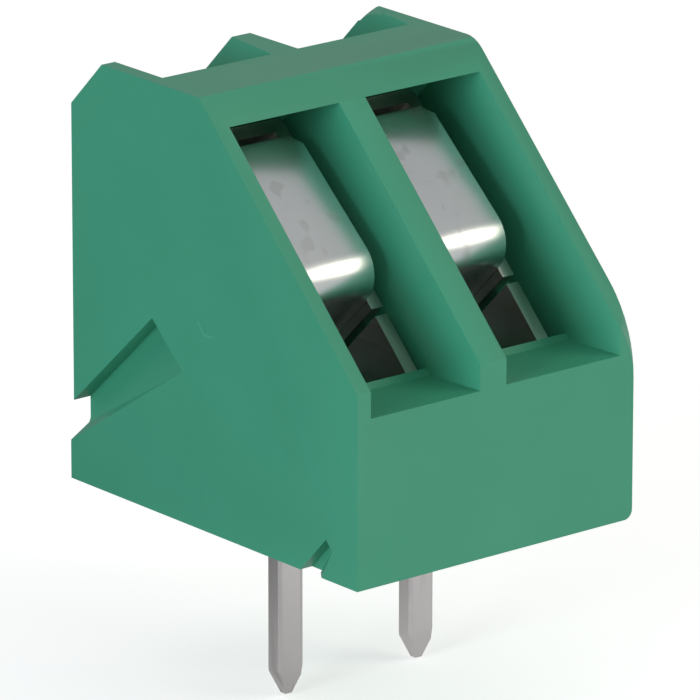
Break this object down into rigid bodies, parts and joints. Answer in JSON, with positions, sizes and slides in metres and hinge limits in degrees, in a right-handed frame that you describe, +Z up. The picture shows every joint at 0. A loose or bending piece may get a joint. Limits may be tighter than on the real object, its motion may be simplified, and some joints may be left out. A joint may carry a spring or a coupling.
{
  "type": "pcb screw terminal",
  "caption": "Angled board-mounted screw terminal for wires, with slanted wire entries, screw clamps with wire guards, and solder pins below.",
  "frame": {"origin": "on the board surface, midway between the two solder pins", "axes": "+X from the left pole to the right pole as seen from the wire side, +Y from the wire side to the back, +Z up from the board"},
  "size_m": [0.0111, 0.0136, 0.0188],
  "materials": {
    "housing_plastic": "satin moulded plastic, slightly glossy",
    "frame_metal": "tin-plated sheet",
    "bar_metal": "tin-plated brass strip",
    "guard_metal": "bright tin-plated spring sheet with fine scratches",
    "screw_metal": "zinc-plated steel"
  },
  "bodies": {
    "block": {"housing": "housing_plastic", "clamp_frame_left": "frame_metal", "current_bar_left": "bar_metal", "clamp_frame_right": "frame_metal", "current_bar_right": "bar_metal"},
    "guard_left": {"wire_guard_left": "guard_metal"},
    "screw_left": {"clamp_screw_left": "screw_metal"},
    "guard_right": {"wire_guard_right": "guard_metal"},
    "screw_right": {"clamp_screw_right": "screw_metal"}
  },
  "joints": [
    {"name": "guard_slide_left", "type": "slide", "parent": "block", "child": "guard_left", "axis": [0, -0.7071, -0.7071], "range_m": [-0.0012, 0.0012]},
    {"name": "screw_turn_left", "type": "hinge", "parent": "guard_left", "child": "screw_left", "pos_m": [-0.00254, 0.00385, 0.01029], "axis": [0, -0.7071, -0.7071], "range_deg": [-1080, 1080]},
    {"name": "guard_slide_right", "type": "slide", "parent": "block", "child": "guard_right", "axis": [0, -0.7071, -0.7071], "range_m": [-0.0012, 0.0012]},
    {"name": "screw_turn_right", "type": "hinge", "parent": "guard_right", "child": "screw_right", "pos_m": [0.00254, 0.00385, 0.01029], "axis": [0, -0.7071, -0.7071], "range_deg": [-1080, 1080]}
  ],
  "couplings": [
    {"joint": "screw_turn_left", "follows": "guard_slide_left", "rad_per_m": 15708},
    {"joint": "screw_turn_right", "follows": "guard_slide_right", "rad_per_m": 15708}
  ]
}
